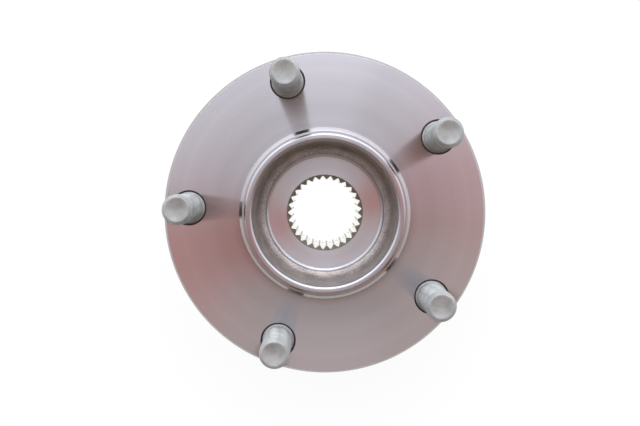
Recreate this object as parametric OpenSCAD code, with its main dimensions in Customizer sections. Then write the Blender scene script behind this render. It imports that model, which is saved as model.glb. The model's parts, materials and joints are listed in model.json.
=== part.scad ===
// Driven wheel hub unit: a flanged, splined spindle that turns in a two-row ball bearing.
// The wheel face lies at z = 0, +Z points outboard along the axle, and lengths are in millimetres.

/* [Wheel flange] */
// Width of the flange outside the stud circle
flange_rim = 10.35; // [8.5:0.05:13]
// Thickness of the flange at the studs
flange_t = 10.5; // [9.5:0.5:12]
// Chamfer round both edges of the rim
rim_chamfer = 0.9; // [0.5:0.1:1.5]
// Extra thickness of the turned pad at the root of the flange
pad_h = 1; // [0.5:0.25:2]
// Room between the pad and the stud heads
pad_room = 2; // [1:0.5:4]
// Radius that blends the seal land into the pad
root_fillet = 3.5; // [2.5:0.5:4.5]

/* [Pilot ring] */
// Diameter that centres the wheel
wheel_pilot_d = 66; // [60:0.1:72]
// Step from the wheel pilot out to the pilot that centres the brake disc
disc_step = 2.5; // [1.5:0.25:4]
// Height of the disc pilot over the wheel face
disc_pilot_h = 6.5; // [5:0.5:8]
// Chamfer between the disc pilot and the wheel pilot
disc_chamfer = 1.3; // [0.6:0.1:1.6]
// Height of the whole pilot ring over the wheel face
pilot_h = 13; // [11:0.5:16]
// Lead-in chamfer at the top of the wheel pilot
lead_chamfer = 1; // [0.5:0.1:1.2]
// Wall of the pilot ring, just below its rim
pilot_wall = 3.4; // [3:0.1:4]
// Chamfer at the mouth of the forged pocket inside the pilot ring
mouth_chamfer = 1.8; // [1:0.1:1.9]

/* [Nut seat and spline] */
// Depth of the nut seat below the wheel face
seat_depth = 6; // [4:0.5:8]
// Step from the mouth of the pocket in to the flat that the axle nut bears on
seat_step = 6; // [5:0.1:7.5]
// Radius round the edge of the nut seat
seat_fillet = 1.6; // [1:0.1:2]
// Draft of the forged pocket wall, in degrees
pocket_draft = 5; // [3:0.5:8]
// Slope at the foot of that wall, where it meets the turned nut seat, in degrees
pocket_slope = 25; // [15:1:35]
// Number of teeth of the axle spline
spline_teeth = 29; // [25:1:31]
// Diameter over the tips of the spline teeth
spline_tip_d = 28.8; // [28:0.1:29.5]
// Depth of the spaces between the spline teeth
spline_depth = 1.25; // [1:0.05:1.4]
// Share of the pitch taken up by the flat tip of a tooth
spline_tip_share = 0.22; // [0.15:0.01:0.3]
// Share of the pitch taken up by the bottom of a space
spline_root_share = 0.1; // [0.05:0.01:0.15]
// Angle of the first space from +X, in degrees
spline_turn = 2.8; // [0:0.1:12]
// Length of the toothed stretch
spline_len = 40; // [34:1:44]
// How far the chamfer at the mouth reaches out past the spaces between the teeth
mouth_step = 0.55; // [0.2:0.05:1]
// How far the plain bore inboard of the spline lies outside those spaces
relief_step = 0.55; // [0.2:0.05:1]

/* [Bearing] */
// Diameter of the balls
ball_d = 12.7; // [12:0.1:13]
// Balls in each row
ball_count = 14; // [11:1:14]
// Pitch diameter of both rows
ball_pitch_d = 66; // [65:0.5:68]
// Distance between the two rows
row_spacing = 25; // [23:0.5:28]
// Clearance between a ball and each raceway
race_clear = 0.08; // [0.05:0.01:0.1]
// Angle up to which a raceway wraps its ball on the loaded side, in degrees
race_high = 60; // [55:1:62]
// Angle up to which a raceway wraps its ball on the open side, in degrees
race_low = 15; // [12:1:18]
// Wall of the pressed-on inner ring, at the thin end of its raceway
inner_wall = 5.29; // [4.5:0.01:5.8]
// Corner chamfer of the rings
ring_chamfer = 0.8; // [0.4:0.1:1.2]

/* [Cages] */
// Clearance between a ball and its pocket
pocket_clear = 0.15; // [0.1:0.05:0.25]
// Thickness of the web behind the pockets
cage_web = 1.4; // [1:0.1:2]
// Width of the cage across the pitch circle
cage_w = 4.8; // [4:0.2:5.2]
// How far the snap horns reach past the middle of the balls
cage_horn = 2.2; // [1.5:0.1:3]
// Chamfer round the back of the web
cage_chamfer = 0.6; // [0.3:0.1:1]
// Gap between each cage and the seal beside it
cage_gap = 0.5; // [0.3:0.1:1]

/* [Outer ring] */
// Gap between the flange pad and the outer ring
ring_gap = 2; // [1.5:0.25:3]
// Wall round the seal bores, out to the pilot that centres the unit in the knuckle
ring_wall = 4.59; // [3.5:0.01:6]
// Step from that pilot in to the neck behind the wheel flange
neck_step = 0.5; // [0:0.1:1]
// Depth of the knuckle face below the wheel face
knuckle_depth = 40; // [38:1:44]
// Thickness of the knuckle flange
knuckle_t = 13; // [11:0.5:15]
// Distance between the knuckle bolts along X
bolt_x = 90; // [88:1:94]
// Distance between the knuckle bolts along Y
bolt_y = 78; // [76:1:82]
// Tapping diameter of the knuckle bolt holes
bolt_hole_d = 10.4; // [10:0.1:10.8]
// Diameter of the countersink on each bolt hole
bolt_sink_d = 12.6; // [12:0.1:13.5]
// Radius of the ears round the bolt holes
ear_r = 10.5; // [9.5:0.5:12]
// Width of the knuckle face in the waists between the ears
knuckle_rim = 2.5; // [2:0.25:4]
// Radius that blends an ear into the waist beside it
waist_r = 20; // [14:1:24]
// Fillet between the neck and the knuckle flange
neck_fillet = 2.5; // [1.5:0.25:3]
// Chamfer at the inboard end of the knuckle pilot
pilot_chamfer = 1.6; // [1:0.1:2.5]
// Width of the grinding groove in the knuckle face round the pilot
groove_w = 1.2; // [0.8:0.1:1.6]
// Depth of that groove
groove_h = 0.5; // [0.3:0.1:0.8]

/* [Swaged end] */
// How far the rolled collar laps over the end of the inner ring
swage_lap = 5; // [4:0.5:7]
// Height of that collar
swage_h = 4.5; // [3.5:0.5:6]
// Radius of the roll round the collar, outside the flat where the drive shaft's joint bears
swage_roll = 3; // [1:0.5:4]
// How far the dished mouth of the collar reaches out past the plain bore
swage_flare = 3.3; // [1:0.1:4]
// Depth of that dish
swage_dish = 2.6; // [2:0.2:3.4]

/* [Wheel studs] */
// Number of wheel studs
stud_count = 5; // [4:1:6]
// Room between the stud heads and the neck of the outer ring, which sets the stud circle
head_room = 3.15; // [2:0.05:6]
// Thread diameter of the studs
stud_d = 12; // [11:0.5:12.5]
// Length of the studs over the wheel face
stud_len = 33; // [25:1:45]
// Height over the thread of the knurl that holds a stud in the flange
knurl_h = 0.7; // [0.4:0.1:1]
// How far the knurl stays below the wheel face
knurl_drop = 0.3; // [0.2:0.1:1]
// Depth of the relief at the foot of the thread
stud_relief = 0.4; // [0.2:0.1:0.8]
// Length of that relief
stud_neck_len = 1.8; // [1:0.2:3]
// Chamfer at the tip of a stud
stud_chamfer = 1.2; // [0.6:0.1:1.6]
// Width of the flat rim between that chamfer and the dish in the tip
stud_rim = 0.6; // [0.2:0.1:1]
// Depth of that dish
stud_dish = 0.5; // [0.3:0.1:1]
// How far the round stud head behind the flange reaches out past the thread
head_rim = 3.5; // [2.5:0.5:4.5]
// Thickness of the stud head
head_t = 4.5; // [3.5:0.5:6]
// Chamfer round the stud head
head_chamfer = 0.8; // [0.4:0.1:1.2]
// Room round the knurl in the counterbore in the wheel face
hole_mouth_gap = 0.7; // [0.4:0.1:1.5]
// Depth of that counterbore
hole_mouth_h = 1.4; // [1:0.1:2]

/* [Seals] */
// Width of each seal along the axle
seal_w = 4.2; // [4:0.1:5]
// How far a seal sits inside the end of the outer ring
seal_inset = 0.3; // [0.2:0.1:0.6]
// Step from the raceway's open side out to the seal bore
seal_step = 1.2; // [0.8:0.1:1.6]
// Sheet thickness of the seal cases
case_t = 0.8; // [0.6:0.1:1]
// Sheet thickness of the slinger
slinger_t = 0.6; // [0.5:0.1:0.8]
// Thickness of the magnetic encoder ring
encoder_t = 0.9; // [0.7:0.1:1.2]
// How far the web of a seal case reaches in from the seal bore
seal_web = 6.2; // [5.4:0.2:7]
// Thickness of the rubber over the seal cases
rubber_t = 0.7; // [0.5:0.1:0.8]
// Thickness of the rubber lips
lip_t = 0.5; // [0.3:0.1:0.6]
// Sideways lean of the lips that wipe a flat face
lip_lean = 1.2; // [0.8:0.1:1.5]
// Running gap between a lip and the face that it wipes
lip_gap = 0.08; // [0.05:0.01:0.1]

/* [Hidden] */
wheel_pilot_r = wheel_pilot_d / 2;
disc_pilot_r = wheel_pilot_r + disc_step;
pocket_r = wheel_pilot_r - pilot_wall;
seat_z = -seat_depth;
seat_r = pocket_r - seat_step;

ball_r = ball_d / 2;
pitch_r = ball_pitch_d / 2;
race_r = ball_r + race_clear;
inner_high_r = pitch_r - race_r * cos(race_high);
inner_low_r = pitch_r - race_r * cos(race_low);
outer_high_r = pitch_r + race_r * cos(race_high);
outer_low_r = pitch_r + race_r * cos(race_low);
inner_seat_r = inner_low_r - inner_wall;
seal_bore_r = outer_low_r + seal_step;
knuckle_pilot_r = seal_bore_r + ring_wall;
neck_r = knuckle_pilot_r - neck_step;

thread_r = stud_d / 2;
head_r = thread_r + head_rim;
knurl_r = thread_r + knurl_h;
hole_mouth_r = knurl_r + hole_mouth_gap;
// The stud circle comes to 114.3 across and the flange to 135.
stud_r = neck_r + head_room + head_r;
flange_r = stud_r + flange_rim;
back_z = -flange_t;
pad_z = back_z - pad_h;
pad_r = stud_r - head_r - pad_room;

// Along the axle: flange pad, gap, outboard seal, outboard row, inboard row, inboard seal, swaged collar.
cage_reach = ball_r + pocket_clear + cage_web;
row_to_end = cage_reach + cage_gap + seal_w + seal_inset;
ring_top_z = pad_z - ring_gap;
row_out_z = ring_top_z - row_to_end;
row_in_z = row_out_z - row_spacing;
ring_end_z = row_in_z - row_to_end;
inner_top_z = (row_out_z + row_in_z) / 2;
inner_end_z = ring_end_z - seal_inset;
swage_z = inner_end_z - swage_h;
swage_r = inner_seat_r + swage_lap;
swage_face_r = swage_r - swage_roll;
knuckle_z = -knuckle_depth;
knuckle_top_z = knuckle_z + knuckle_t;
knuckle_body_r = knuckle_pilot_r + knuckle_rim;

seal_out_z = ring_top_z - seal_inset;
seal_in_z = ring_end_z + seal_inset;
web_r = seal_bore_r - seal_web;
slinger_r = inner_high_r + slinger_t;
encoder_r = seal_bore_r - case_t - 2 * rubber_t;

spline_tip_r = spline_tip_d / 2;
spline_root_r = spline_tip_r + spline_depth;
spline_pitch = 360 / spline_teeth;
spline_end_z = seat_z - spline_len;
spline_mouth_r = spline_root_r + mouth_step;
relief_r = spline_root_r + relief_step;
cut = 1;
arc_step = 6;
$fn = 96;

// Points of an arc about a centre, from one angle to another.
function arc(centre, r, from, to) =
    let (n = ceil(abs(to - from) / arc_step))
    [for (i = [0:n]) let (a = from + (to - from) * i / n) centre + r * [cos(a), sin(a)]];

// Angle of the stud with number i, where the first one points to +Y.
function stud_angle(i) = 90 + (i - 1) * 360 / stud_count;

// Angle of ball number i in its row.
function ball_angle(i) = (i - 1) * 360 / ball_count;

// Section of a ring between two radii and two heights.
module band(r0, r1, z0, z1) {
    translate([r0, min(z0, z1)])
        square([r1 - r0, abs(z1 - z0)]);
}

// Filler of a concave corner at (r, z) that opens towards (dr, dz).
module corner(r, z, size, dr, dz) {
    difference() {
        translate([dr > 0 ? r : r - size, dz > 0 ? z : z - size])
            square(size);
        translate([r + dr * size, z + dz * size])
            circle(size);
    }
}

// Section of the forging, turned and ground outside and turned at the wheel side.
module spindle_section() {
    // The arc at the foot of the pocket touches the drafted wall and ends at the nut seat's own fillet.
    mouth = [pocket_r, pilot_h - mouth_chamfer];
    foot = [seat_r + seat_fillet, seat_z + seat_fillet];
    into_pocket = [-cos(pocket_draft), sin(pocket_draft)];
    foot_turn = pocket_slope - 90;
    to_foot = [cos(foot_turn), sin(foot_turn)];
    foot_radius = (foot - mouth) * into_pocket / (1 + to_foot * into_pocket);
    difference() {
        polygon(concat(
            [[spline_tip_r, swage_z]],
            arc([swage_face_r, swage_z + swage_roll], swage_roll, -90, 0),
            [
                [swage_r, inner_end_z],
                [inner_seat_r, inner_end_z],
                [inner_seat_r, inner_top_z],
                [inner_low_r, inner_top_z],
                [inner_low_r, row_out_z],
                [inner_high_r, row_out_z],
                [inner_high_r, pad_z],
                [pad_r, pad_z],
                [pad_r + pad_h, back_z],
                [flange_r - rim_chamfer, back_z],
                [flange_r, back_z + rim_chamfer],
                [flange_r, -rim_chamfer],
                [flange_r - rim_chamfer, 0],
                [disc_pilot_r, 0],
                [disc_pilot_r, disc_pilot_h - disc_chamfer],
                [disc_pilot_r - disc_chamfer, disc_pilot_h],
                [wheel_pilot_r, disc_pilot_h],
                [wheel_pilot_r, pilot_h - lead_chamfer],
                [wheel_pilot_r - lead_chamfer, pilot_h],
                [pocket_r + mouth_chamfer, pilot_h],
                mouth
            ],
            arc(foot - foot_radius * to_foot, foot_radius, -pocket_draft, foot_turn),
            arc([seat_r, seat_z + seat_fillet], seat_fillet, 0, -90),
            [[spline_tip_r, seat_z]]
        ));
        translate([pitch_r, row_out_z])
            circle(race_r);
    }
    corner(inner_high_r, pad_z, root_fillet, 1, -1);
}

// One closed outline that holds the bore and all the spaces between its teeth.
module spline_outline() {
    tip_half = spline_pitch * (1 - spline_tip_share) / 2;
    root_half = spline_pitch * spline_root_share / 2;
    polygon([
        for (i = [0:spline_teeth - 1])
            for (p = [[-tip_half, spline_tip_r], [-root_half, spline_root_r], [root_half, spline_root_r], [tip_half, spline_tip_r]])
                let (a = spline_turn + i * spline_pitch + p[0])
                p[1] * [cos(a), sin(a)]
    ]);
}

// Lets copies of a child stand at the studs.
module at_studs() {
    for (i = [1:stud_count])
        rotate(stud_angle(i))
            translate([stud_r, 0, 0])
                children();
}

module hub_spindle() {
    mouth_h = spline_mouth_r - spline_tip_r;
    color("lightgray")
        difference() {
            rotate_extrude() spindle_section();
            translate([0, 0, spline_end_z])
                linear_extrude(spline_len + cut) spline_outline();
            translate([0, 0, swage_z - cut])
                cylinder(r = relief_r, h = spline_end_z - swage_z + cut);
            translate([0, 0, seat_z - mouth_h])
                cylinder(r1 = spline_tip_r, r2 = spline_mouth_r, h = mouth_h);
            translate([0, 0, swage_z])
                cylinder(r1 = relief_r + swage_flare, r2 = relief_r, h = swage_dish);
            at_studs() {
                translate([0, 0, pad_z - cut])
                    cylinder(r = knurl_r, h = -pad_z + 2 * cut);
                translate([0, 0, -hole_mouth_h])
                    cylinder(r = hole_mouth_r, h = hole_mouth_h + cut);
            }
        }
}

// A wheel stud: round head, knurl, thread relief, thread and a dished tip.
module wheel_stud(i) {
    relief_z = -knurl_drop + stud_neck_len;
    tip_r = thread_r - stud_chamfer;
    color("silver")
        rotate(stud_angle(i))
            translate([stud_r, 0, 0])
                rotate_extrude()
                    polygon([
                        [0, back_z - head_t],
                        [head_r - head_chamfer, back_z - head_t],
                        [head_r, back_z - head_t + head_chamfer],
                        [head_r, back_z],
                        [knurl_r, back_z],
                        [knurl_r, -knurl_drop - knurl_h - stud_relief],
                        [thread_r - stud_relief, -knurl_drop],
                        [thread_r - stud_relief, relief_z],
                        [thread_r, relief_z + stud_relief],
                        [thread_r, stud_len - stud_chamfer],
                        [tip_r, stud_len],
                        [tip_r - stud_rim, stud_len],
                        [0, stud_len - stud_dish]
                    ]);
}

// The pressed-on ring that carries the inboard raceway.
module inner_ring() {
    color("gainsboro")
        rotate_extrude()
            difference() {
                polygon([
                    [inner_seat_r, inner_end_z + ring_chamfer],
                    [inner_seat_r + ring_chamfer, inner_end_z],
                    [inner_high_r - ring_chamfer, inner_end_z],
                    [inner_high_r, inner_end_z + ring_chamfer],
                    [inner_high_r, row_in_z],
                    [inner_low_r, row_in_z],
                    [inner_low_r, inner_top_z - ring_chamfer],
                    [inner_low_r - ring_chamfer, inner_top_z],
                    [inner_seat_r + ring_chamfer, inner_top_z],
                    [inner_seat_r, inner_top_z - ring_chamfer]
                ]);
                translate([pitch_r, row_in_z])
                    circle(race_r);
            }
}

// Section of the outer ring without its knuckle flange.
module outer_ring_section() {
    difference() {
        polygon([
            [seal_bore_r, ring_end_z],
            [knuckle_pilot_r - pilot_chamfer, ring_end_z],
            [knuckle_pilot_r, ring_end_z + pilot_chamfer],
            [knuckle_pilot_r, knuckle_z + groove_h],
            [neck_r, knuckle_top_z],
            [neck_r, ring_top_z - ring_chamfer],
            [neck_r - ring_chamfer, ring_top_z],
            [seal_bore_r, ring_top_z],
            [seal_bore_r, seal_out_z - seal_w],
            [outer_low_r, seal_out_z - seal_w],
            [outer_low_r, row_out_z],
            [outer_high_r, row_out_z],
            [outer_high_r, row_in_z],
            [outer_low_r, row_in_z],
            [outer_low_r, seal_in_z + seal_w],
            [seal_bore_r, seal_in_z + seal_w]
        ]);
        translate([pitch_r, row_out_z])
            circle(race_r);
        translate([pitch_r, row_in_z])
            circle(race_r);
    }
    corner(neck_r, knuckle_top_z, min(neck_fillet, knuckle_body_r - neck_r), 1, 1);
}

// Lets copies of a child stand at the four knuckle bolts.
module at_bolts() {
    for (x = [-1, 1], y = [-1, 1])
        translate([x * bolt_x / 2, y * bolt_y / 2, 0])
            children();
}

// Outline of the knuckle flange: a round body and four ears, with a hollow blend at each side of an ear.
module knuckle_outline() {
    ear_reach = norm([bolt_x, bolt_y]) / 2;
    // Each blend cuts a hair into the arcs beside it, because arcs that only touch leave slivers.
    hair = 0.02;
    blend_reach = knuckle_body_r + waist_r - hair;
    blend_gap = ear_r + waist_r - hair;
    blend_turn = acos(
        (ear_reach ^ 2 + blend_reach ^ 2 - blend_gap ^ 2) / (2 * ear_reach * blend_reach)
    );
    circle(knuckle_body_r);
    for (x = [-1, 1], y = [-1, 1]) {
        ear_turn = atan2(y * bolt_y, x * bolt_x);
        ear = ear_reach * [cos(ear_turn), sin(ear_turn)];
        translate(ear)
            circle(ear_r);
        for (side = [-1, 1]) {
            turn = ear_turn + side * blend_turn;
            blend = blend_reach * [cos(turn), sin(turn)];
            difference() {
                polygon([[0, 0], ear, blend]);
                translate(blend)
                    circle(waist_r);
            }
        }
    }
}

module outer_ring() {
    sink_h = (bolt_sink_d - bolt_hole_d) / 2;
    color("darkgray")
        difference() {
            union() {
                rotate_extrude() outer_ring_section();
                difference() {
                    translate([0, 0, knuckle_z])
                        linear_extrude(knuckle_t) knuckle_outline();
                    translate([0, 0, knuckle_z - cut])
                        cylinder(r = neck_r - cut, h = knuckle_t + 2 * cut);
                    translate([0, 0, knuckle_z - cut])
                        cylinder(r = knuckle_pilot_r + groove_w, h = groove_h + cut);
                }
            }
            at_bolts() {
                translate([0, 0, knuckle_z - cut])
                    cylinder(d = bolt_hole_d, h = knuckle_t + 2 * cut);
                translate([0, 0, knuckle_z])
                    cylinder(d1 = bolt_sink_d, d2 = bolt_hole_d, h = sink_h);
                translate([0, 0, knuckle_top_z - sink_h])
                    cylinder(d1 = bolt_hole_d, d2 = bolt_sink_d, h = sink_h);
            }
        }
}

// Ball number i of the row at height z.
module ball(z, i) {
    color("whitesmoke")
        rotate(ball_angle(i))
            translate([pitch_r, 0, z])
                sphere(ball_r);
}

// A moulded snap cage: a web beside the balls, and horns that reach past their middle.
// side is 1 where the web lies outboard of the row and -1 where it lies inboard.
module cage(z, side) {
    color("saddlebrown")
        difference() {
            rotate_extrude()
                polygon([
                    [pitch_r - cage_w / 2, z - side * cage_horn],
                    [pitch_r + cage_w / 2, z - side * cage_horn],
                    [pitch_r + cage_w / 2, z + side * (cage_reach - cage_chamfer)],
                    [pitch_r + cage_w / 2 - cage_chamfer, z + side * cage_reach],
                    [pitch_r - cage_w / 2 + cage_chamfer, z + side * cage_reach],
                    [pitch_r - cage_w / 2, z + side * (cage_reach - cage_chamfer)]
                ]);
            for (i = [1:ball_count])
                rotate(ball_angle(i))
                    translate([pitch_r, 0, z])
                        sphere(ball_r + pocket_clear);
        }
}

// Both seals are drawn from their open end, at 0, towards the balls.
module outboard_seal() {
    translate([0, seal_out_z])
        mirror([0, 1])
            children();
}

module inboard_seal() {
    translate([0, seal_in_z])
        children();
}

// Section of a stamped case: a sleeve pressed into the outer ring and a web towards the axle.
module case_section() {
    band(seal_bore_r - case_t, seal_bore_r, 0, seal_w);
    band(web_r, seal_bore_r, seal_w - case_t, seal_w);
}

// Section of the rubber bonded over the web and round its inner edge.
module rubber_section() {
    web_z = seal_w - case_t;
    band(web_r - rubber_t, seal_bore_r - case_t, web_z - rubber_t, web_z);
    band(web_r - rubber_t, web_r, web_z - rubber_t, seal_w);
}

// Section of a lip that is rooted in the rubber at radius r and leans out to wipe a flat face.
module side_lip(r, face_z) {
    root_z = seal_w - case_t - rubber_t / 2;
    polygon([
        [r + lip_lean, face_z],
        [r + lip_lean + lip_t / 2, face_z],
        [r + lip_t, root_z],
        [r, root_z]
    ]);
}

// Section of a lip that is rooted at the web's inner edge and wipes a round face.
module round_lip(face_r) {
    root_r = web_r - rubber_t / 2;
    polygon([
        [face_r, seal_w - lip_t],
        [root_r, seal_w - 2 * lip_t],
        [root_r, seal_w],
        [face_r, seal_w]
    ]);
}

module outboard_seal_case() {
    color("dimgray")
        rotate_extrude()
            outboard_seal() case_section();
}

// Three lips: one on the spindle's seal land and two on the pad of the wheel flange.
module outboard_seal_lip() {
    pad_face = seal_out_z - pad_z + lip_gap;
    color("black")
        rotate_extrude()
            outboard_seal() {
                rubber_section();
                round_lip(inner_high_r + lip_gap);
                side_lip(web_r, pad_face);
                side_lip(web_r + 2 * lip_lean, pad_face);
            }
}

module inboard_seal_case() {
    color("dimgray")
        rotate_extrude()
            inboard_seal() case_section();
}

// Two lips: one on the slinger's sleeve and one on its flange.
module inboard_seal_lip() {
    color("black")
        rotate_extrude()
            inboard_seal() {
                rubber_section();
                round_lip(slinger_r + lip_gap);
                side_lip(web_r, encoder_t + slinger_t + lip_gap);
            }
}

// The slinger turns with the inner ring and carries the encoder ring.
module seal_slinger() {
    color("lightsteelblue")
        rotate_extrude()
            inboard_seal() {
                band(inner_high_r, slinger_r, encoder_t, seal_w);
                band(inner_high_r, encoder_r, encoder_t, encoder_t + slinger_t);
            }
}

module encoder_ring() {
    color("darkslategray")
        rotate_extrude()
            inboard_seal() band(slinger_r, encoder_r, 0, encoder_t);
}

hub_spindle();
outer_ring();
inner_ring();
for (i = [1:stud_count])
    wheel_stud(i);
for (i = [1:ball_count])
    ball(row_out_z, i);
for (i = [1:ball_count])
    ball(row_in_z, i);
cage(row_out_z, 1);  // outboard_cage
cage(row_in_z, -1);  // inboard_cage
outboard_seal_case();
outboard_seal_lip();
inboard_seal_case();
inboard_seal_lip();
seal_slinger();
encoder_ring();
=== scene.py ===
# %% [markdown]
# # A wheel hub, seen from the wheel side
# This lesson dresses a driven wheel hub unit: a forged and turned spindle with a round flange,
# five pressed-in studs and a splined bore, which turns in a sealed ball bearing. The solids come
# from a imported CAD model, which is the fixed frame here. Blender gives the parts that show their
# fine edges, threads and finishes. Blender works in metres, and the drawings speak in millimetres.

# %% Load the frame
import json
import math

import bmesh
import bpy
from mathutils import Matrix, Vector


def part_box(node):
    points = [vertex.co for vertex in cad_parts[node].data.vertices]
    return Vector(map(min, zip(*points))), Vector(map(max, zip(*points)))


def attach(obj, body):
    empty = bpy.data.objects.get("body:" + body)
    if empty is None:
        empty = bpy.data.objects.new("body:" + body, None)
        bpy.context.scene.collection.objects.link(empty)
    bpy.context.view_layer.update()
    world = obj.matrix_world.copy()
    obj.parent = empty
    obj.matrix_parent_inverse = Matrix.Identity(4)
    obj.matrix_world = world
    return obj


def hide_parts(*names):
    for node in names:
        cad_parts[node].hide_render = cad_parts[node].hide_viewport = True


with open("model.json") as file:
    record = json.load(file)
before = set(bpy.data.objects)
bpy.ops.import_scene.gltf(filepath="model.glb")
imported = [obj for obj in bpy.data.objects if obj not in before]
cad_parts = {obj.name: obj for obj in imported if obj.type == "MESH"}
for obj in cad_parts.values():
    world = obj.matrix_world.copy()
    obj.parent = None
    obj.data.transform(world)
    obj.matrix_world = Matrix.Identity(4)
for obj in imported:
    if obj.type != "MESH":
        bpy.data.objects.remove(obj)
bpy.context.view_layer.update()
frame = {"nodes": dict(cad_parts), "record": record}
MM = 0.001

# %% [markdown]
# ## Sizes from the frame
# The mounts in the record hold the sizes that other parts rely on. They could be typed again, but
# a size that is read from the frame always fits it. What no mount states, such as a chamfer, gets
# a named value beside the piece that it belongs to.

# %% Read the sizes that the frame states
mounts = {mount["name"]: mount for mount in frame["record"]["mounts"]}


def mount_size(name, key):
    """A dimension of a mount, in millimetres."""
    return mounts[name]["dims"][key]


def mount_z(name):
    """The height of a mount along the axle, in millimetres."""
    return mounts[name]["pos_m"][2] / MM


def node_box(name):
    """The lowest and the highest corner of a node, in millimetres."""
    return [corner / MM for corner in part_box(name)]


disc_pilot_r = mount_size("disc_pilot", "r_mm")
wheel_pilot_r = mount_size("wheel_pilot", "r_mm")
stud_circle_r = mount_size("wheel_studs", "pcd_mm") / 2
stud_count = mount_size("wheel_studs", "count")
thread_r = mount_size("wheel_studs", "stud_r_mm")
relief_r = mount_size("shaft_bore", "r_mm")
knuckle_pilot_r = mount_size("knuckle_pilot", "r_mm")
bolt_x = mount_size("knuckle_bolts", "spacing_x_mm") / 2
bolt_y = mount_size("knuckle_bolts", "spacing_y_mm") / 2
bolt_hole_r = mount_size("knuckle_bolts", "hole_r_mm")
seat_z = mount_z("nut_seat")
knuckle_z = mount_z("knuckle_face")
spindle_low, spindle_high = node_box("hub_spindle")
flange_r = spindle_high.x
ring_top_z = spindle_high.z
swage_z = spindle_low.z
print(f"flange {2 * flange_r:.1f} mm across, {ring_top_z - swage_z:.1f} mm from ring to swaged end")

# %% [markdown]
# ## Small helpers
# Every colour below is written as an sRGB hex value, as a paint chart would give it, and one
# function turns it into the linear colour that shaders add and multiply. Shaders and shapes are
# both built from nodes. Each kind of node could have a function of its own, but one function
# that adds any kind, with its settings and its links, is less to learn.

# %% Colour and node helpers
def linear(hex_colour):
    """The linear RGBA colour of an sRGB hex value."""
    values = [int(hex_colour[i:i + 2], 16) / 255 for i in (1, 3, 5)]
    return tuple(v / 12.92 if v <= 0.04045 else ((v + 0.055) / 1.055) ** 2.4 for v in values) + (1,)


def add_node(tree, kind, inputs=(), **settings):
    """Adds a node of any kind. A short kind, such as Math, means a shader node.

    inputs fills its sockets, by name or in their order without those that the settings switch
    off. Each gets a value, or a link from another socket or from a node's first output.
    """
    node = tree.nodes.new(kind if "Node" in kind else "ShaderNode" + kind)
    for name, value in settings.items():
        setattr(node, name, value)
    if not isinstance(inputs, dict):
        inputs = dict(zip((i for i, socket in enumerate(node.inputs) if socket.enabled), inputs))
    for key, value in inputs.items():
        if isinstance(value, bpy.types.Node):
            value = next(socket for socket in value.outputs if socket.enabled)
        if isinstance(value, bpy.types.NodeSocket):
            tree.links.new(value, node.inputs[key])
        else:
            node.inputs[key].default_value = value
    return node


def empty_tree(owner):
    """The node tree of a material or a world, without the nodes that it starts with."""
    owner.use_nodes = True
    owner.node_tree.nodes.clear()
    return owner.node_tree


def add_object(name, data):
    """Puts a new object with its data in the scene."""
    made = bpy.data.objects.new(name, data)
    bpy.context.scene.collection.objects.link(made)
    return made


# %% [markdown]
# ## The camera
# The picture looks at the wheel face almost squarely, from about 38 cm, which is why the stud
# tips lean outwards. A camera could be aimed with a constraint, but its place, aim and roll were
# fitted to the feet and tips of the studs, and the focal length to the flange, so they are set
# as numbers.

# %% Place the camera
camera_at = Vector((2.03, 10.97, 382.2)) * MM
camera_aim = Vector((-1.97, 0.55, 0)) * MM
camera_roll = math.radians(-15.85)
focal_length = 51.25
nearest_seen = 10 * MM

view_line = camera_aim - camera_at
picture_up = Matrix.Rotation(camera_roll, 3, "Z") @ Vector((0, 1, 0))
back = -view_line.normalized()
side = picture_up.cross(back).normalized()
camera_turn = Matrix((side, back.cross(side), back)).transposed()
camera_data = bpy.data.cameras.new("camera")
camera_data.lens = focal_length
camera_data.clip_start = nearest_seen
camera = add_object("camera", camera_data)
camera.matrix_world = Matrix.Translation(camera_at) @ camera_turn.to_4x4()
bpy.context.scene.camera = camera
print(f"camera {view_line.length / MM:.0f} mm from the wheel face")

# %% [markdown]
# ## The studio
# Bright metal has hardly any look of its own: it shows the room. The room could be built from
# lamps and cards, but the sky alone can be painted by direction, which gives softer changes.
# It is a plain white sweep, brighter towards the top of the picture, and brown below the middle.
# Two reddish things stand in it, at the right and at the lower left, and a pale one stands at
# the lower right. The turned face smears them into fans. Camera rays see plain white, which
# keeps the background clean. One soft lamp adds a little light from the top of the picture. The
# floor is white card that glows to the camera, with a share left dull so that it takes the
# hub's shadow. Under the bore it glows fully, which is painted light where the hub shades it.

# %% Choose the light of the room
white = (1, 1, 1, 1)
sky_tint = "#E4EAF8"
# The sky's brightness overhead, its gain towards the picture's top, its least and its most.
overhead, rise, dimmest, brightest = 1.38, 2.7, 0.42, 4.1
below_colour, below_most = "#B78355", 0.84
# Each thing that stands round the hub: degrees from the right of the picture, how far to its sides
# it reaches, and its colour.
things = ((3, 33, "#F7755D"), (204, 32, "#F7755D"), (333, 26, "#F4CDBB"))
thing_most, thing_core = 0.55, 0.3
# Where the brown starts, and where it and the things end on their way to the horizon.
below_start, below_fade, thing_fade = (0.0, -0.08), (0.88, 0.57), (0.67, 0.33)
print(f"sky {dimmest} to {brightest}, with {len(things)} things in it")

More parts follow.
